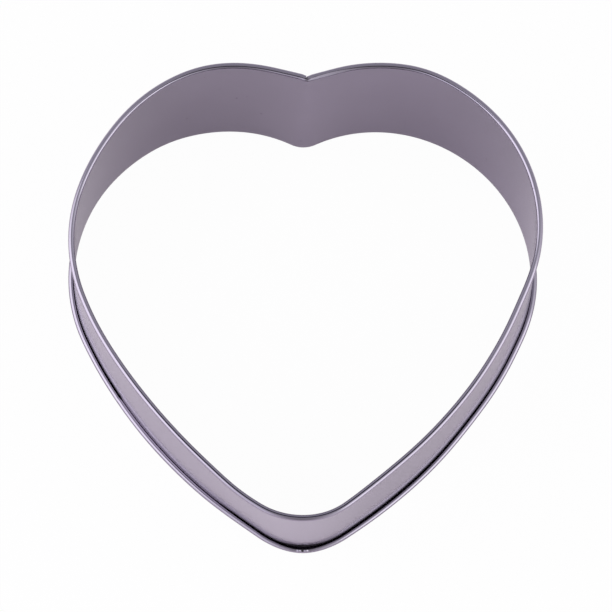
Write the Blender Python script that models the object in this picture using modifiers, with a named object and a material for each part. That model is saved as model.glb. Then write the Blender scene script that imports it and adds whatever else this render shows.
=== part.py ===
"""Heart-shaped cake ring: a bottomless wall of thin steel strip with a wired roll along each edge.

Metres, +Z up. The ring stands on z = 0, its tip points to -Y and its notch lies at +Y.
"""

import math

import bmesh
import bpy

# Driving dimensions of the whole ring, over its rolled edges
WIDTH = 0.150
HEIGHT = 0.050

# The bottom edge has been eased wider and shorter than the top edge by these lengths
BOTTOM_WIDER = 0.0039
BOTTOM_SHORTER = 0.0062

# The strip, the roll along each of its edges and the wire inside the roll
SHEET = 0.00035
ROLL_DIAMETER = 0.0020
WIRE_DIAMETER = 0.0008

# The heart, measured on the inside face of the wall, as arcs from the notch to the tip
NOTCH_RADIUS = 0.0090
NOTCH_TURN = math.radians(24.5)
LOBE_RADIUS = 0.0473
LOBE_TURN = math.radians(57.5)
SHOULDER_TURN = math.radians(81.5)
FLANK_TURN = math.radians(31.5)
TIP_RADIUS = 0.0230

# The seam in the notch, where the two ends of the strip are welded together
WELD_WIDTH = 0.0005
WELD_CLEARANCE = 0.00025

# How finely round stretches are divided
PATH_STEP = math.radians(5.0)
ROLL_STEPS_TO_FLAT = 3
ROLL_TURN = math.radians(283.0)
WIRE_RESOLUTION = 2
WELD_STEPS = 4
SHARP_ANGLE = math.radians(40.0)
SAME_POINT = 1e-6

# Sizes that follow from the ones above
roll_radius = ROLL_DIAMETER / 2
inner_width = WIDTH - 2 * ROLL_DIAMETER
seam_gap = WELD_WIDTH + 2 * WELD_CLEARANCE
roll_step = math.radians(90.0) / (ROLL_STEPS_TO_FLAT + 0.5)
roll_centre = roll_radius * math.cos(roll_step / 2)


def clear_scene():
    for item in list(bpy.data.objects):
        bpy.data.objects.remove(item, do_unlink=True)


def make_collection(name):
    collection = bpy.data.collections.new(name)
    bpy.context.scene.collection.children.link(collection)
    return collection


def make_material(name, colour, roughness, metallic=1.0):
    material = bpy.data.materials.new(name)
    material.use_nodes = True
    shader = material.node_tree.nodes["Principled BSDF"]
    shader.inputs["Base Color"].default_value = (*colour, 1.0)
    shader.inputs["Roughness"].default_value = roughness
    shader.inputs["Metallic"].default_value = metallic
    material.diffuse_color = (*colour, 1.0)
    return material


def heart_arcs():
    """The right half of the heart: each arc's radius, start heading and end heading.

    A heading is the angle of travel from +X. A radius is negative where the outline is hollow, so an
    outline moved outwards by a distance has that distance added to every radius. The shoulder's radius
    follows from the width, and the flank's from the tip lying on the axis.
    """
    lobe_start = NOTCH_TURN
    shoulder_start = lobe_start - LOBE_TURN
    flank_start = shoulder_start - SHOULDER_TURN
    tip_start = flank_start - FLANK_TURN
    headings = [0.0, lobe_start, shoulder_start, flank_start, tip_start, -math.pi]
    spans = [math.sin(start) - math.sin(end) for start, end in zip(headings, headings[1:])]
    to_lobe_end = LOBE_RADIUS * spans[1] - NOTCH_RADIUS * spans[0]
    shoulder_radius = (inner_width / 2 - to_lobe_end) / (math.sin(shoulder_start) + 1.0)
    to_flank = to_lobe_end + shoulder_radius * spans[2]
    flank_radius = -(to_flank + TIP_RADIUS * spans[4]) / spans[3]
    radii = [-NOTCH_RADIUS, LOBE_RADIUS, shoulder_radius, flank_radius, TIP_RADIUS]
    return list(zip(radii, headings, headings[1:]))


def half_outline(outwards, first_heading):
    """Points of the right half from the notch to the tip, moved outwards from the wall's inside face."""
    x, y = 0.0, outwards
    points = []
    for radius, start, end in heart_arcs():
        radius += outwards
        begin = first_heading if not points else start
        count = max(1, math.ceil(abs(end - begin) / PATH_STEP))
        for step in range(0 if not points else 1, count + 1):
            heading = begin + (end - begin) * step / count
            along = x + radius * (math.sin(start) - math.sin(heading))
            across = y + radius * (math.cos(heading) - math.cos(start))
            points.append((along, across))
        x += radius * (math.sin(start) - math.sin(end))
        y += radius * (math.cos(end) - math.cos(start))
    points[-1] = (0.0, points[-1][1])
    return points


def outline_middle():
    """Half way between the highest point of a lobe and the lowest point of the tip, inside the wall."""
    heights = [y for _, y in half_outline(0.0, 0.0)]
    return (max(heights) + min(heights)) / 2


def heart_outline(outwards, open_at_seam):
    """The whole outline, centred on the origin, anticlockwise from the notch and back to it."""
    first_heading = seam_gap / 2 / NOTCH_RADIUS if open_at_seam else 0.0
    right = half_outline(outwards, first_heading)
    left = [(-x, y) for x, y in right]
    way_back = right[-2::-1] if open_at_seam else right[-2:0:-1]
    middle = outline_middle()
    return [(x, y - middle) for x, y in left + way_back]


def outline_length():
    """Overall length along Y over the rolls, half way up."""
    heights = [y for _, y in heart_outline(ROLL_DIAMETER, False)]
    return max(heights) - min(heights)


def roll_points(centre_height, upwards):
    """The outer face of a roll, from where the wall meets it round to the free edge of the sheet."""
    points = []
    for step in range(int(ROLL_TURN / roll_step) + 1):
        angle = math.pi - roll_step * step
        across = roll_radius * (1.0 + math.cos(angle))
        rise = roll_radius * math.sin(angle)
        points.append((across, centre_height + upwards * rise))
    return points


def strip_profile():
    """The face of the sheet that shows inside the ring and on both rolls, from free edge to free edge."""
    top = roll_points(HEIGHT - roll_centre, 1.0)
    bottom = roll_points(roll_centre, -1.0)
    return list(reversed(bottom)) + top


def poly_curve(name, points, closed, dimensions="3D"):
    """A curve object with one straight-sided spline through the points."""
    data = bpy.data.curves.new(name, "CURVE")
    data.dimensions = dimensions
    spline = data.splines.new("POLY")
    spline.points.add(len(points) - 1)
    for target, point in zip(spline.points, points):
        x, y, z = (*point, 0.0)[:3]
        target.co = (x, y, z, 1.0)
    spline.use_cyclic_u = closed
    return bpy.data.objects.new(name, data)


def curve_to_mesh(curve, name, collection):
    """A mesh object with the curve's evaluated shape, its caps welded on. The curve is removed."""
    collection.objects.link(curve)
    bpy.context.view_layer.update()
    graph = bpy.context.evaluated_depsgraph_get()
    mesh = bpy.data.meshes.new_from_object(curve.evaluated_get(graph))
    mesh.name = name
    bpy.data.objects.remove(curve, do_unlink=True)
    weld_points(mesh)
    item = bpy.data.objects.new(name, mesh)
    collection.objects.link(item)
    return item


def weld_points(mesh):
    work = bmesh.new()
    work.from_mesh(mesh)
    bmesh.ops.remove_doubles(work, verts=work.verts, dist=SAME_POINT)
    work.to_mesh(mesh)
    work.free()


def ease_bottom(mesh):
    """Widens and shortens the ring evenly towards its bottom edge, about the size half way up."""
    length = outline_length()
    for point in mesh.vertices:
        down = 0.5 - point.co.z / HEIGHT
        point.co.x *= 1.0 + down * BOTTOM_WIDER / WIDTH
        point.co.y *= 1.0 - down * BOTTOM_SHORTER / length


def finish(item, material, parent):
    item.data.materials.clear()
    item.data.materials.append(material)
    item.data.shade_smooth()
    item.data.set_sharp_from_angle(angle=SHARP_ANGLE)
    item.parent = parent


def make_wall_strip(collection, guides):
    """The strip: its section swept round the heart as an open surface, then thickened away from it."""
    profile = poly_curve("strip_profile", strip_profile(), False, "2D")
    guides.objects.link(profile)
    profile.hide_render = True
    profile.display_type = "WIRE"
    path = poly_curve("strip_path", heart_outline(0.0, True), False, "2D")
    path.data.bevel_mode = "OBJECT"
    path.data.bevel_object = profile
    strip = curve_to_mesh(path, "wall_strip", collection)
    bpy.data.objects.remove(profile, do_unlink=True)
    ease_bottom(strip.data)
    skin = strip.modifiers.new("sheet_thickness", "SOLIDIFY")
    skin.thickness = SHEET
    skin.offset = -1.0
    skin.use_even_offset = True
    return strip


def make_rim_wire(name, height, collection):
    """A closed ring of wire in the middle of a roll."""
    path = [(x, y, height) for x, y in heart_outline(roll_radius, False)]
    curve = poly_curve(name, path, True)
    curve.data.bevel_depth = WIRE_DIAMETER / 2
    curve.data.bevel_resolution = WIRE_RESOLUTION
    wire = curve_to_mesh(curve, name, collection)
    ease_bottom(wire.data)
    return wire


def make_seam_weld(collection):
    """The weld that closes the wall between the ends of the strip, from roll to roll."""
    notch = heart_outline(SHEET / 2, False)[0]
    low = ROLL_DIAMETER
    rise = (HEIGHT - 2 * ROLL_DIAMETER) / WELD_STEPS
    path = [(*notch, low + rise * step) for step in range(WELD_STEPS + 1)]
    curve = poly_curve("seam_weld", path, False)
    curve.data.bevel_depth = WELD_WIDTH / 2
    curve.data.bevel_resolution = WIRE_RESOLUTION
    curve.data.use_fill_caps = True
    weld = curve_to_mesh(curve, "seam_weld", collection)
    ease_bottom(weld.data)
    return weld


def main():
    clear_scene()
    collection = make_collection("heart_cake_tin")
    guides = make_collection("guides")
    ring = bpy.data.objects.new("heart_cake_tin", None)
    collection.objects.link(ring)
    sheet = make_material("satin_steel_sheet", (0.56, 0.53, 0.58), 0.30)
    weld_metal = make_material("weld_metal", (0.50, 0.48, 0.52), 0.42)
    finish(make_wall_strip(collection, guides), sheet, ring)
    rims = {"top_rim_wire": HEIGHT - roll_centre, "bottom_rim_wire": roll_centre}
    for name, height in rims.items():
        wire_steel = make_material(name + "_steel", (0.42, 0.41, 0.43), 0.45)
        finish(make_rim_wire(name, height, collection), wire_steel, ring)
    finish(make_seam_weld(collection), weld_metal, ring)


main()
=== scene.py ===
"""Heart-shaped cake ring of satin steel: its looks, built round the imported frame. Metres, +Z up."""

import math

import bpy
from mathutils import Matrix, Vector, noise


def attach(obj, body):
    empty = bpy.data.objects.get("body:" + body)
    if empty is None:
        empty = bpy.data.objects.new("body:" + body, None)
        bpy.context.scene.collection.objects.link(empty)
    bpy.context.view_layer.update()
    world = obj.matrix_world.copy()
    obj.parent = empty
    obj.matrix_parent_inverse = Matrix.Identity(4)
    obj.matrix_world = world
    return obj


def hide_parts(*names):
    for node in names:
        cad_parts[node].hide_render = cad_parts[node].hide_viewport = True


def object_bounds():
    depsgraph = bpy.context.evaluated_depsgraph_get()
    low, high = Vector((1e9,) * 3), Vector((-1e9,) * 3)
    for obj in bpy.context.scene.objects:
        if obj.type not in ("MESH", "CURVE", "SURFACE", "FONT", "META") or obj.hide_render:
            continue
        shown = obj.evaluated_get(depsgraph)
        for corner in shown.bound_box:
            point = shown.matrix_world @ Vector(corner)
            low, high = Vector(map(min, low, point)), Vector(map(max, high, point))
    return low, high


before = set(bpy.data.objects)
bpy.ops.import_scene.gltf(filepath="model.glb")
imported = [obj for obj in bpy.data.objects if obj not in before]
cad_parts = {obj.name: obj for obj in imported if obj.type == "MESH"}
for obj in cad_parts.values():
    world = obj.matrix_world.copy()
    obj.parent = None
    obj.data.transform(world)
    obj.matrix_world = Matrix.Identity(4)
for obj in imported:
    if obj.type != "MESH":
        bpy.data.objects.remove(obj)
cad_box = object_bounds()

# The ring over its rolls half way up, and how much wider and shorter its bottom edge is than its top
WIDTH = 0.150
HEIGHT = cad_box[1].z - cad_box[0].z
BOTTOM_WIDER = 0.0039
BOTTOM_SHORTER = 0.0062

# The sheet, its rolls and the wire in them
SHEET = 0.00035
ROLL_DIAMETER = 0.0020
WIRE_DIAMETER = 0.0008

# The heart on the inside face of the wall, as arcs from the notch to the tip
NOTCH_RADIUS = 0.0090
NOTCH_TURN = math.radians(24.5)
LOBE_RADIUS = 0.0473
LOBE_TURN = math.radians(57.5)
SHOULDER_TURN = math.radians(81.5)
FLANK_TURN = math.radians(31.5)
TIP_RADIUS = 0.0230

# How finely the pieces are divided: along the heart, round a roll, up the wall and round a wire
PATH_STEP = math.radians(1.5)
PATH_LENGTH = 0.0015
ROLL_STEPS = 30
WALL_STEPS = 24
WIRE_SIDES = 14

# How near the ends of a tube count as joined, and from what angle an edge is shaded as sharp
CLOSED_WITHIN = 0.0000001
SHARP_ANGLE = math.radians(50.0)

# The weld: its width, rise and middle across the sheet, its steps and sides, the height and pace of its
# ripples and of its unevenness, and how thin and how soon its ends taper
WELD_WIDTH = 0.00084
WELD_RISE = 0.00022
WELD_MIDDLE = SHEET * 0.8
WELD_STEPS = 150
WELD_SIDES = 8
WELD_RIPPLE = 0.16
WELD_RIPPLE_PACE = 2.1
WELD_UNEVENNESS = 0.10
WELD_UNEVENNESS_PACE = 0.21
WELD_NOISE_PLACE = 3.0
WELD_END_SHARE = 0.15
WELD_END_STEPS = 4.0

# The gap between a roll's two ends at the seam, how far along the heart it is felt, how far the right
# end's upper edge stands inside the left end's, and how far down and along the heart that is felt
ROLL_GAP = 0.00060
ROLL_GAP_REACH = 0.0008
SEAM_STEP = 0.00026
SEAM_STEP_DROP = 0.0045
SEAM_STEP_REACH = 0.035

# Where on a roll that gap starts and how soon it is whole, as shares of the roll's diameter away from the
# wall, and how far below the roll's middle it closes, as a share of its radius
SEAM_OPEN_FROM = 0.32
SEAM_OPEN_OVER = 0.30
SEAM_OPEN_BELOW = 0.6

# Where the bent ring is uneven: place along the heart (notch 0, tip 1, left negative), spread, and
# how far the top edge and the bottom edge stand out there
UNEVEN_PLACES = {
    "left shoulder": (-0.325, 0.125, -0.0027, 0.0003),
    "left lobe": (-0.20, 0.05, -0.0003, 0.0002),
    "crease in the notch": (0.0, 0.009, -0.0006, 0.0),
    "notch": (0.0, 0.025, 0.0010, -0.0001),
    "beside the notch": (0.0, 0.060, 0.0004, -0.0004),
    "right lobe": (0.17, 0.05, 0.0004, 0.0),
    "right shoulder": (0.36, 0.16, 0.0007, 0.0),
    "left flank": (-0.60, 0.09, 0.0008, 0.0001),
    "right flank": (0.55, 0.05, -0.0006, -0.0003),
    "middle of the right flank": (0.70, 0.06, 0.0002, -0.0003),
    "left of the tip": (-0.91, 0.05, 0.0007, -0.0003),
    "right of the tip": (0.88, 0.07, -0.0005, -0.0001),
    "tip": (1.0, 0.035, -0.0001, 0.0007),
}

# The height and pace of the faint waves all round, and how far the notch leans to the right at the top
WAVE_HEIGHT = 0.00006
WAVE_PACE = 3.0
NOTCH_LEAN = 0.0008
NOTCH_LEAN_SPREAD = 0.07

# How far the lower roll's free edge stays from the wall, from place to place, and the upper roll's
LOWER_ROLL_GAPS = (
    (-1.000, 0.00090),
    (-0.962, 0.00046),
    (-0.900, 0.00038),
    (-0.860, 0.00020),
    (-0.662, 0.00016),
    (-0.655, 0.00040),
    (-0.470, 0.00024),
    (-0.400, 0.00010),
    (0.460, 0.00012),
    (0.560, 0.00026),
    (0.740, 0.00040),
    (0.860, 0.00050),
    (0.962, 0.00052),
    (1.000, 0.00090),
)
UPPER_ROLL_GAP = 0.00022

# The pinch at the tip, where the bend crimped the lower roll: a nick in its free edge and a low hump to
# each side of it, with its own fine steps
NICK_DEPTH = 0.00055
NICK_WIDTH = 0.00020
HUMP_HEIGHT = 0.00022
HUMP_DISTANCE = 0.00105
HUMP_WIDTH = 0.00045
PINCH_REACH = 0.0020
PINCH_STEP = 0.00006

# The flat on the inner side of the upper roll, just right of the notch: how deep, which way it faces above
# the level, its place along the heart and its spread
FLAT_DEPTH = 0.00018
FLAT_FACING = math.radians(42.0)
FLAT_PLACE = 0.035
FLAT_SPREAD = 0.025

# The camera, at the photograph's angle, and where the heart's middle is in the picture
CAMERA_ELEVATION = math.radians(72.0)
CAMERA_AZIMUTH = math.radians(-1.29)
CAMERA_ROLL = math.radians(1.46)
CAMERA_DISTANCE = 1.14
CAMERA_LENS = 212.0
CAMERA_SENSOR = 36.0
CAMERA_CLIP = (0.01, 20.0)
IMAGE_SIZE = 612
HEART_CENTRE_PIXEL = (303.4, 311.6)

# Sheet steel: the tints it clouds between and the clouds' scale, the scale, limits, strength and colour of
# its pits, and the scale, roughness, height and depth of the grain along the strip
SHEET_TINTS = ((0.392, 0.358, 0.428, 1.0), (0.420, 0.385, 0.458, 1.0))
CLOUD_SCALE = 60.0
PIT_SCALE = 620.0
PIT_LIMITS = (0.74, 0.82)
PIT_STRENGTH = 0.70
PIT_COLOUR = (0.20, 0.175, 0.215, 1.0)
GRAIN_SCALE = (60.0, 9000.0, 1.0)
GRAIN_ROUGHNESS = (0.11, 0.17)
GRAIN_STRENGTH = 0.07
GRAIN_DEPTH = 0.00002

# Wire: its tints, kept dark as painted shade so that the gaps in the rolls read black, and the scale and
# roughness of the drawing lines along it
WIRE_PAINTED_SHADE_TINTS = ((0.070, 0.068, 0.072, 1.0), (0.130, 0.125, 0.130, 1.0))
WIRE_LINE_SCALE = (150.0, 12000.0, 1.0)
WIRE_ROUGHNESS = (0.35, 0.55)

# Weld metal: its straw and blue heat colours, the scale of their patches, its roughness and its texture
WELD_TINTS = ((0.36, 0.31, 0.27, 1.0), (0.33, 0.34, 0.42, 1.0))
WELD_PATCH_SCALE = 900.0
WELD_ROUGHNESS = (0.30, 0.50)
WELD_BUMP_STRENGTH = 0.3
WELD_BUMP_DEPTH = 0.00004

# The surround: its colours, between which directions it turns from front to back and from left to right,
# where its bright sides start and are whole, and where towards the back they fade, and to what share
SURROUND_FRONT = (0.37, 0.35, 0.37, 1.0)
SURROUND_BACK = (0.46, 0.46, 0.51, 1.0)
SURROUND_LEFT = (1.18, 1.16, 1.28, 1.0)
SURROUND_RIGHT = (1.02, 1.02, 1.06, 1.0)
SURROUND_TURN = (-0.6, 0.6)
SIDE_START = (0.05, 0.60)
SIDE_FADE = (0.15, 0.55)
SIDE_FADED_SHARE = 0.15

# The dark oval card over the ring, which only glossy surfaces mirror
CARD_COLOUR = (0.04, 0.04, 0.06, 1.0)
CARD_CENTRE = (0.0, -0.015, 0.185)
CARD_REACH = (0.090, 0.047)
CARD_SIDES = 48

# The lamps: azimuth from the front, elevation, distance, size and strength
LAMPS = {
    "right lamp": (68.0, 26.0, 1.1, 1.0, 0.90),
    "left lamp": (-92.0, 31.0, 0.55, 0.64, 0.85),
}

# The floor, and the share of plain white in it as the camera and as glossy and clear surfaces see it
FLOOR_REACH = 3.0
FLOOR_COLOUR = (0.86, 0.80, 0.84, 1.0)
FLOOR_WHITE_TO_CAMERA = 0.97
FLOOR_WHITE_TO_GLOSS = 0.06

roll_radius = ROLL_DIAMETER / 2
inner_width = WIDTH - 2 * ROLL_DIAMETER


def heart_arcs():
    """The right half: each arc's radius (negative where hollow), start heading and end heading."""
    lobe_start = NOTCH_TURN
    shoulder_start = lobe_start - LOBE_TURN
    flank_start = shoulder_start - SHOULDER_TURN
    tip_start = flank_start - FLANK_TURN
    headings = [0.0, lobe_start, shoulder_start, flank_start, tip_start, -math.pi]
    spans = [math.sin(start) - math.sin(end) for start, end in zip(headings, headings[1:])]
    to_lobe_end = LOBE_RADIUS * spans[1] - NOTCH_RADIUS * spans[0]
    shoulder_radius = (inner_width / 2 - to_lobe_end) / (math.sin(shoulder_start) + 1.0)
    to_flank = to_lobe_end + shoulder_radius * spans[2]
    flank_radius = -(to_flank + TIP_RADIUS * spans[4]) / spans[3]
    radii = [-NOTCH_RADIUS, LOBE_RADIUS, shoulder_radius, flank_radius, TIP_RADIUS, TIP_RADIUS]
    headings.insert(-1, PINCH_REACH / TIP_RADIUS - math.pi)
    return list(zip(radii, headings, headings[1:]))


def half_path():
    """The right half of the inside face, divided most finely at the tip.

    Each point has its x and y, its heading and its distance from the notch along the heart.
    """
    x = y = walked = 0.0
    path = [(0.0, 0.0, 0.0, 0.0)]
    for radius, start, end in heart_arcs():
        length = abs(radius * (end - start))
        count = math.ceil(max(abs(end - start) / PATH_STEP, length / PATH_LENGTH))
        if end == -math.pi:
            count = math.ceil(length / PINCH_STEP)
        for step in range(1, count + 1):
            heading = start + (end - start) * step / count
            point_x = x + radius * (math.sin(start) - math.sin(heading))
            point_y = y + radius * (math.cos(heading) - math.cos(start))
            path.append((point_x, point_y, heading, walked + length * step / count))
        x += radius * (math.sin(start) - math.sin(end))
        y += radius * (math.cos(end) - math.cos(start))
        walked += length
    return path


def whole_path():
    """The whole heart, anticlockwise from the notch, as (point, outward direction, place) tuples.

    A place runs from 0 at the notch to 1 at the tip, and is negative on the left half.
    """
    right = half_path()
    total = right[-1][3]
    reach = [y for _, y, _, _ in right]
    middle = (max(reach) + min(reach)) / 2
    halves = {-1.0: [], 1.0: []}
    for side, points in halves.items():
        for x, y, heading, walked in right:
            outward = Vector((-side * math.sin(heading), math.cos(heading), 0.0))
            points.append((Vector((side * x, y - middle, 0.0)), outward, side * walked / total))
    return halves[-1.0] + halves[1.0][-2::-1]


def outline_length():
    """Overall length along Y over the rolls, half way up."""
    reach = [(point + outward * ROLL_DIAMETER).y for point, outward, _ in whole_path()]
    return max(reach) - min(reach)


ring_length = outline_length()


def nearness(place, centre, spread):
    """1 at a place along the heart, falling away on both sides of it; the heart is closed at the tip."""
    away = (place - centre + 1.0) % 2.0 - 1.0
    return math.exp(-((away / spread) ** 2))


def stand_out(place, up):
    """How far the bent ring stands out at a place, at a share of its height."""
    total = 0.0
    for centre, spread, top, bottom in UNEVEN_PLACES.values():
        total += nearness(place, centre, spread) * (top * up + bottom * (1.0 - up))
    turn = math.pi * place
    wave = noise.noise(Vector((math.cos(turn) * WAVE_PACE, math.sin(turn) * WAVE_PACE, up)))
    return total + WAVE_HEIGHT * wave


def placed(point, outward, place, across, height):
    """A point at a distance across the wall and a height, on the eased and slightly uneven ring."""
    up = height / HEIGHT
    flat = point + outward * (across + stand_out(place, up))
    flat.x += NOTCH_LEAN * up * nearness(place, 0.0, NOTCH_LEAN_SPREAD)
    down = 0.5 - up
    flat.x *= 1.0 + down * BOTTOM_WIDER / WIDTH
    flat.y *= 1.0 - down * BOTTOM_SHORTER / ring_length
    return Vector((flat.x, flat.y, height))


def lower_roll_gap(place):
    """The gap between the lower roll's free edge and the wall, eased from one listed place to the next."""
    for (start, gap), (end, next_gap) in zip(LOWER_ROLL_GAPS, LOWER_ROLL_GAPS[1:]):
        if place <= end:
            share = (place - start) / (end - start)
            share = share * share * (3.0 - 2.0 * share)
            return gap + (next_gap - gap) * share
    return LOWER_ROLL_GAPS[-1][1]


def rolled(centre_height, upwards, gap, inset):
    """One roll of the section, from the wall to a free edge that stops at a gap from the wall."""
    turn = math.pi + math.acos((SHEET + gap) / roll_radius - 1.0)
    radius = roll_radius - inset
    points = []
    for step in range(ROLL_STEPS + 1):
        angle = math.pi - turn * step / ROLL_STEPS
        rise = upwards * radius * math.sin(angle)
        points.append((roll_radius + radius * math.cos(angle), centre_height + rise, upwards))
    return points


def strip_face(place, inset, nick):
    """One face of the sheet from the lower roll's free edge to the upper one's: (across, height, roll).

    The roll is -1 for points of the lower one, 1 for the upper one and 0 for the wall.
    """
    low = roll_radius
    high = HEIGHT - roll_radius
    wall = [(inset, low + (high - low) * step / WALL_STEPS, 0) for step in range(1, WALL_STEPS)]
    lower = rolled(low, -1, lower_roll_gap(place) + nick, inset)
    upper = rolled(high, 1, UPPER_ROLL_GAP, inset)
    return lower[::-1] + wall + upper


def pinched(across, height, roll, to_tip):
    """The section's point, raised by the humps of the pinch on the upper side of the lower roll."""
    away = Vector((across - roll_radius, height - roll_radius))
    if roll >= 0 or away.y <= 0.0:
        return across, height
    hump = HUMP_HEIGHT * math.exp(-(((to_tip - HUMP_DISTANCE) / HUMP_WIDTH) ** 2))
    away *= 1.0 + hump * away.y / away.length ** 2
    return roll_radius + away.x, roll_radius + away.y


def flattened(across, height, roll, place):
    """The section's point, pressed in by the flat on the upper roll."""
    away = Vector((across - roll_radius, height - HEIGHT + roll_radius))
    depth = FLAT_DEPTH * nearness(place, FLAT_PLACE, FLAT_SPREAD)
    facing = Vector((-math.cos(FLAT_FACING), math.sin(FLAT_FACING)))
    over = roll_radius * (away.normalized().dot(facing) - 1.0) + depth
    if roll <= 0 or over <= 0.0:
        return across, height
    return across - facing.x * over, height - facing.y * over


def seam_opening(across, height, roll):
    """How much of the seam's gap a point of a roll has: all of it on the outer side, none by the wall."""
    centre_height = roll_radius if roll < 0 else HEIGHT - roll_radius
    away = Vector((across - roll_radius, height - centre_height)).normalized()
    away_from_wall = min(1.0, max(0.0, (1.0 + away.x) / 2 - SEAM_OPEN_FROM) / SEAM_OPEN_OVER)
    return away_from_wall * min(1.0, max(0.0, away.y + SEAM_OPEN_BELOW))


def grid_mesh(name, rows, across):
    """A tube of quads through rows of points, closed where its ends are apart, with UVs in metres."""
    columns = len(rows[0])
    last = (len(rows) - 1) * columns
    points = [point for row in rows for point in row]
    faces = []
    for start in range(0, last, columns):
        end = start + columns
        for column in range(columns):
            after = (column + 1) % columns
            faces.append((start + column, start + after, end + after, end + column))
    sides = len(faces)
    apart = [(first - other).length > CLOSED_WITHIN for first, other in zip(rows[0], rows[-1])]
    for column in range(columns // 2 - 1):
        corners = (column, column + 1, columns - 2 - column, columns - 1 - column)
        if any(apart[corner] for corner in corners):
            faces.append(corners[::-1])
            faces.append(tuple(last + corner for corner in corners))
    mesh = bpy.data.meshes.new(name)
    mesh.from_pydata(points, [], faces)
    along = [0.0]
    for row, after in zip(rows, rows[1:]):
        along.append(along[-1] + (after[0] - row[0]).length)
    layer = mesh.uv_layers.new(name="sheet")
    for number, polygon in enumerate(mesh.polygons):
        first_column = polygon.vertices[0] % columns
        for loop, corner in zip(polygon.loop_indices, range(4)):
            row = polygon.vertices[corner] // columns
            column = polygon.vertices[corner] % columns
            if number < sides:
                column = first_column + (1 if corner in (1, 2) else 0)
            layer.data[loop].uv = (along[row], across[column])
    mesh.shade_smooth()
    mesh.set_sharp_from_angle(angle=SHARP_ANGLE)
    return mesh


def lengths_from_middle(points):
    """The distance of each point along a line of points, from the line's middle."""
    walked = [0.0]
    for point, after in zip(points, points[1:]):
        walked.append(walked[-1] + math.dist(point[:2], after[:2]))
    return [length - walked[-1] / 2 for length in walked]


def add_object(name, mesh, material, nodes):
    """A piece of the ring, in place of the solids of the named nodes."""
    item = bpy.data.objects.new(name, mesh)
    bpy.context.scene.collection.objects.link(item)
    mesh.materials.append(material)
    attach(item, "root")
    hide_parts(*nodes)


def build_strip(material):
    """The strip: its section carried round the heart, with the rolls' ends a little short of the seam."""
    path = whole_path()
    seam = path[0][0]
    tip = path[len(path) // 2][0]
    rows = []
    for number, (point, outward, place) in enumerate(path):
        to_tip = (point - tip).length
        to_seam = (point - seam).length
        side = -1.0 if number < len(path) / 2 else 1.0
        drawn_back = side * ROLL_GAP / 2 * math.exp(-((to_seam / ROLL_GAP_REACH) ** 2))
        step = -side * SEAM_STEP / 2 * nearness(place, 0.0, SEAM_STEP_REACH)
        nick = NICK_DEPTH * math.exp(-((to_tip / NICK_WIDTH) ** 2))
        row = []
        for across, height, roll in strip_face(place, 0.0, nick) + strip_face(place, SHEET, nick)[::-1]:
            across, height = pinched(across, height, roll, to_tip)
            across, height = flattened(across, height, roll, place)
            near_top = max(0.0, 1.0 - (HEIGHT - height) / SEAM_STEP_DROP)
            spot = placed(point, outward, place, across + step * near_top ** 2, height)
            if roll:
                spot.x += drawn_back * seam_opening(across, height, roll)
            row.append(spot)
        rows.append(row)
    outer = lengths_from_middle(strip_face(0.0, 0.0, 0.0))
    mesh = grid_mesh("wall_strip_fine", rows, outer + outer[::-1] + outer[:1])
    add_object("wall_strip_fine", mesh, material, ["wall_strip"])


def round_lengths(diameter, sides):
    """The distances round a circle at its corners, with the way back to the first."""
    return [math.pi * diameter * side / sides for side in range(sides + 1)]


def build_wire(name, centre_height, material, node):
    """A closed wire in the middle of a roll."""
    rows = []
    for point, outward, place in whole_path():
        row = []
        for side in range(WIRE_SIDES):
            angle = 2 * math.pi * side / WIRE_SIDES
            across = roll_radius + WIRE_DIAMETER / 2 * math.cos(angle)
            height = centre_height - WIRE_DIAMETER / 2 * math.sin(angle)
            row.append(placed(point, outward, place, across, height))
        rows.append(row)
    mesh = grid_mesh(name, rows, round_lengths(WIRE_DIAMETER, WIRE_SIDES))
    add_object(name, mesh, material, [node])


def build_weld(material):
    """The low rippled bead of weld on the outer face of the seam."""
    point, outward, place = whole_path()[0]
    rows = []
    low = ROLL_DIAMETER
    high = HEIGHT - ROLL_DIAMETER
    for step in range(WELD_STEPS + 1):
        height = low + (high - low) * step / WELD_STEPS
        unevenness = noise.noise(Vector((step * WELD_UNEVENNESS_PACE, 0.0, WELD_NOISE_PLACE)))
        ripple = 1.0 + WELD_RIPPLE * math.sin(step * WELD_RIPPLE_PACE) + WELD_UNEVENNESS * unevenness
        end = min(1.0, WELD_END_SHARE + min(step, WELD_STEPS - step) / WELD_END_STEPS)
        row = []
        for side in range(WELD_SIDES):
            angle = 2 * math.pi * side / WELD_SIDES
            across = WELD_MIDDLE + WELD_RISE * ripple * end * math.sin(angle)
            spot = placed(point, outward, place, across, height)
            spot.x += WELD_WIDTH / 2 * ripple * end * math.cos(angle)
            row.append(spot)
        rows.append(row)
    mesh = grid_mesh("seam_weld_fine", rows, round_lengths(WELD_WIDTH, WELD_SIDES))
    add_object("seam_weld_fine", mesh, material, ["seam_weld"])


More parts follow.
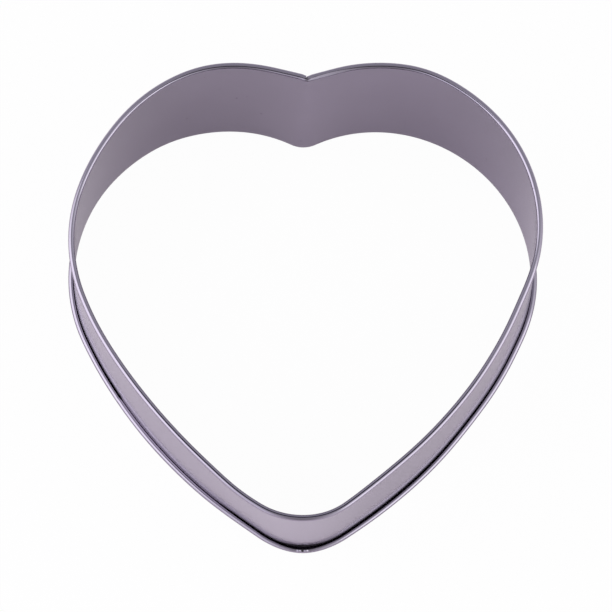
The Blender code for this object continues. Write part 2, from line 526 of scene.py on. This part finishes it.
class Nodes:
    """Short calls for building a node tree."""

    def __init__(self, tree):
        self.tree = tree
        tree.nodes.clear()

    def add(self, kind, **settings):
        """A new node with its own settings and the values of its sockets."""
        node = self.tree.nodes.new(kind)
        for key, value in settings.items():
            if isinstance(value, (int, float, str, bool)) and hasattr(node, key):
                setattr(node, key, value)
            else:
                node.inputs[key].default_value = value
        return node

    def put(self, value, socket):
        """Feed a socket from another one, or set it to a number or colour."""
        if isinstance(value, bpy.types.NodeSocket):
            self.tree.links.new(value, socket)
        else:
            socket.default_value = value

    def along_sheet(self, scale):
        """The place on a piece in metres, from its UVs, scaled for a texture."""
        uv = self.add("ShaderNodeUVMap", uv_map="sheet")
        mapping = self.add("ShaderNodeMapping")
        mapping.inputs["Scale"].default_value = scale
        self.put(uv.outputs["UV"], mapping.inputs["Vector"])
        return mapping.outputs["Vector"]

    def in_space(self):
        """The place in the object's own space, in metres."""
        return self.add("ShaderNodeTexCoord").outputs["Object"]

    def noise(self, place, scale, detail, roughness=0.5):
        """A soft random value at each place."""
        node = self.add("ShaderNodeTexNoise", Scale=scale, Detail=detail, Roughness=roughness)
        self.put(place, node.inputs["Vector"])
        return node.outputs["Fac"]

    def ramp(self, value, results, limits=(0.0, 1.0), kind="LINEAR"):
        """One result at each limit of a value, and a ramp between them."""
        node = self.add("ShaderNodeMapRange", interpolation_type=kind)
        node.inputs["From Min"].default_value = limits[0]
        node.inputs["From Max"].default_value = limits[1]
        node.inputs["To Min"].default_value = results[0]
        node.inputs["To Max"].default_value = results[1]
        self.put(value, node.inputs["Value"])
        return node.outputs["Result"]

    def eased(self, value, limits, results=(0.0, 1.0)):
        """A ramp with soft ends."""
        return self.ramp(value, results, limits, "SMOOTHSTEP")

    def math(self, operation, *terms):
        """A sum worked out on sockets and numbers."""
        node = self.add("ShaderNodeMath", operation=operation)
        for term, socket in zip(terms, node.inputs):
            self.put(term, socket)
        return node.outputs["Value"]

    def blend(self, share, first, second):
        """A colour between two others."""
        node = self.add("ShaderNodeMix", data_type="RGBA")
        self.put(share, node.inputs[0])
        self.put(first, node.inputs[6])
        self.put(second, node.inputs[7])
        return node.outputs[2]

    def bump(self, height, strength, depth):
        """The surface's direction, roughened by a height."""
        node = self.add("ShaderNodeBump", Strength=strength, Distance=depth)
        self.put(height, node.inputs["Height"])
        return node.outputs["Normal"]


def new_material(name):
    """A new material, the calls for its nodes, and the socket that takes its surface."""
    material = bpy.data.materials.new(name)
    material.use_nodes = True
    nodes = Nodes(material.node_tree)
    return material, nodes, nodes.add("ShaderNodeOutputMaterial").inputs["Surface"]


def new_metal(name):
    """A new metal, the calls for its nodes, and its shader's sockets."""
    material, nodes, surface = new_material(name)
    shader = nodes.add("ShaderNodeBsdfPrincipled", Metallic=1.0)
    nodes.put(shader.outputs["BSDF"], surface)
    return material, nodes, shader.inputs


def sheet_steel():
    """Satin rolled steel: a lilac-grey tint, fine grain along the strip, faint clouding and small pits."""
    material, nodes, sockets = new_metal("satin_sheet_steel")
    grain = nodes.noise(nodes.along_sheet(GRAIN_SCALE), 1.0, detail=3.0, roughness=0.6)
    clouds = nodes.noise(nodes.in_space(), CLOUD_SCALE, detail=2.0)
    specks = nodes.noise(nodes.in_space(), PIT_SCALE, detail=1.0)
    pits = nodes.ramp(specks, (0.0, PIT_STRENGTH), PIT_LIMITS)
    tint = nodes.blend(clouds, *SHEET_TINTS)
    nodes.put(nodes.blend(pits, tint, PIT_COLOUR), sockets["Base Color"])
    nodes.put(nodes.ramp(grain, GRAIN_ROUGHNESS), sockets["Roughness"])
    nodes.put(nodes.bump(grain, GRAIN_STRENGTH, GRAIN_DEPTH), sockets["Normal"])
    return material


def wire_steel_painted_shade():
    """Wire painted dark as shade, so that the gaps in the rolls read black, with fine drawing lines along
    it.
    """
    material, nodes, sockets = new_metal("drawn_wire_painted_shade")
    lines = nodes.noise(nodes.along_sheet(WIRE_LINE_SCALE), 1.0, detail=2.0)
    # The dark tints are painted shade: they make the gaps in the rolls and at the seam read black.
    nodes.put(nodes.blend(lines, *WIRE_PAINTED_SHADE_TINTS), sockets["Base Color"])
    nodes.put(nodes.ramp(lines, WIRE_ROUGHNESS), sockets["Roughness"])
    return material


def weld_metal():
    """Weld metal: rougher, with straw and blue heat colours along the bead."""
    material, nodes, sockets = new_metal("weld_metal")
    patches = nodes.noise(nodes.in_space(), WELD_PATCH_SCALE, detail=3.0)
    nodes.put(nodes.blend(patches, *WELD_TINTS), sockets["Base Color"])
    nodes.put(nodes.ramp(patches, WELD_ROUGHNESS), sockets["Roughness"])
    nodes.put(nodes.bump(patches, WELD_BUMP_STRENGTH, WELD_BUMP_DEPTH), sockets["Normal"])
    return material


def floor_material():
    """A pale matt floor that reads as white to the camera and keeps a soft shadow."""
    material, nodes, surface = new_material("pale_floor")
    matt = nodes.add("ShaderNodeBsdfDiffuse", Color=FLOOR_COLOUR)
    white = nodes.add("ShaderNodeEmission", Strength=1.0)
    rays = nodes.add("ShaderNodeLightPath").outputs
    to_camera = nodes.math("MULTIPLY", rays["Is Camera Ray"], FLOOR_WHITE_TO_CAMERA)
    mirrored = nodes.math("MAXIMUM", rays["Is Glossy Ray"], rays["Is Transmission Ray"])
    share = nodes.math("MULTIPLY_ADD", mirrored, FLOOR_WHITE_TO_GLOSS, to_camera)
    mix = nodes.add("ShaderNodeMixShader")
    nodes.put(share, mix.inputs[0])
    nodes.put(matt.outputs["BSDF"], mix.inputs[1])
    nodes.put(white.outputs["Emission"], mix.inputs[2])
    nodes.put(mix.outputs["Shader"], surface)
    return material


def card_material():
    """A dark card that shows one even tone in a mirror."""
    material, nodes, surface = new_material("dark_card")
    dark = nodes.add("ShaderNodeEmission", Strength=1.0, Color=CARD_COLOUR)
    nodes.put(dark.outputs["Emission"], surface)
    return material


def flat_piece(name, corners, material):
    """A flat piece of the studio with one face."""
    mesh = bpy.data.meshes.new(name)
    mesh.from_pydata(corners, [], [tuple(range(len(corners)))])
    mesh.materials.append(material)
    item = bpy.data.objects.new(name, mesh)
    bpy.context.scene.collection.objects.link(item)
    return item


def build_floor():
    """The wide floor that the ring stands on."""
    signs = ((-1, -1), (1, -1), (1, 1), (-1, 1))
    corners = [(x * FLOOR_REACH, y * FLOOR_REACH, 0.0) for x, y in signs]
    floor = flat_piece("floor", corners, floor_material())


def build_card():
    """The dark oval card over the ring, which gives its rolled edges their dark line."""
    corners = []
    for side in range(CARD_SIDES):
        turn = 2 * math.pi * side / CARD_SIDES
        x = CARD_CENTRE[0] + CARD_REACH[0] * math.cos(turn)
        y = CARD_CENTRE[1] + CARD_REACH[1] * math.sin(turn)
        corners.append((x, y, CARD_CENTRE[2]))
    card = flat_piece("card", corners, card_material())
    card.visible_camera = False
    card.visible_diffuse = False
    card.visible_transmission = False
    card.visible_shadow = False


def build_world():
    """A soft pale surround with brighter sides, the left one most, that fade towards the back."""
    world = bpy.data.worlds.new("studio")
    bpy.context.scene.world = world
    world.use_nodes = True
    nodes = Nodes(world.node_tree)
    background = nodes.add("ShaderNodeBackground", Strength=1.0)
    nodes.put(background.outputs["Background"], nodes.add("ShaderNodeOutputWorld").inputs["Surface"])
    axes = nodes.add("ShaderNodeSeparateXYZ")
    nodes.put(nodes.add("ShaderNodeTexCoord").outputs["Generated"], axes.inputs["Vector"])
    rightwards = axes.outputs["X"]
    backwards = axes.outputs["Y"]
    ends = nodes.blend(nodes.eased(backwards, SURROUND_TURN), SURROUND_FRONT, SURROUND_BACK)
    sides = nodes.blend(nodes.eased(rightwards, SURROUND_TURN), SURROUND_LEFT, SURROUND_RIGHT)
    at_sides = nodes.eased(nodes.math("ABSOLUTE", rightwards), SIDE_START)
    kept = nodes.eased(backwards, SIDE_FADE, (1.0, SIDE_FADED_SHARE))
    colour = nodes.blend(nodes.math("MULTIPLY", at_sides, kept), ends, sides)
    nodes.put(colour, background.inputs["Color"])


def direction(azimuth, elevation):
    """From the ring to a place in the studio, by its azimuth from the front and its elevation."""
    flat = math.cos(elevation)
    return Vector((math.sin(azimuth) * flat, -math.cos(azimuth) * flat, math.sin(elevation)))


def add_lamp(name, azimuth, elevation, distance, size, strength):
    """A square soft lamp aimed at the ring, from an azimuth and elevation in degrees."""
    data = bpy.data.lights.new(name, "AREA")
    data.shape = "SQUARE"
    data.size = size
    data.energy = strength * math.pi * size ** 2
    lamp = bpy.data.objects.new(name, data)
    bpy.context.scene.collection.objects.link(lamp)
    away = direction(math.radians(azimuth), math.radians(elevation))
    lamp.location = away * distance
    lamp.rotation_euler = away.to_track_quat("Z", "Y").to_euler()


def build_camera():
    """The camera, which looks at the middle of the ring from the photograph's angle."""
    data = bpy.data.cameras.new("camera")
    data.lens = CAMERA_LENS
    data.sensor_width = CAMERA_SENSOR
    data.shift_x = (IMAGE_SIZE / 2 - HEART_CENTRE_PIXEL[0]) / IMAGE_SIZE
    data.shift_y = (HEART_CENTRE_PIXEL[1] - IMAGE_SIZE / 2) / IMAGE_SIZE
    data.clip_start, data.clip_end = CAMERA_CLIP
    camera = bpy.data.objects.new("camera", data)
    bpy.context.scene.collection.objects.link(camera)
    away = direction(CAMERA_AZIMUTH, CAMERA_ELEVATION)
    middle = Vector((0.0, 0.0, HEIGHT / 2))
    aim = (-away).to_track_quat("-Z", "Y").to_matrix().to_4x4()
    place = Matrix.Translation(middle + away * CAMERA_DISTANCE)
    camera.matrix_world = place @ aim @ Matrix.Rotation(CAMERA_ROLL, 4, "Z")
    bpy.context.scene.camera = camera


def main():
    bpy.context.scene.view_settings.view_transform = "Standard"
    sheet = sheet_steel()
    wire = wire_steel_painted_shade()
    build_strip(sheet)
    build_wire("top_rim_wire_fine", HEIGHT - roll_radius, wire, "top_rim_wire")
    build_wire("bottom_rim_wire_fine", roll_radius, wire, "bottom_rim_wire")
    build_weld(weld_metal())
    build_floor()
    build_world()
    build_card()
    for name, settings in LAMPS.items():
        add_lamp(name, *settings)
    build_camera()


main()
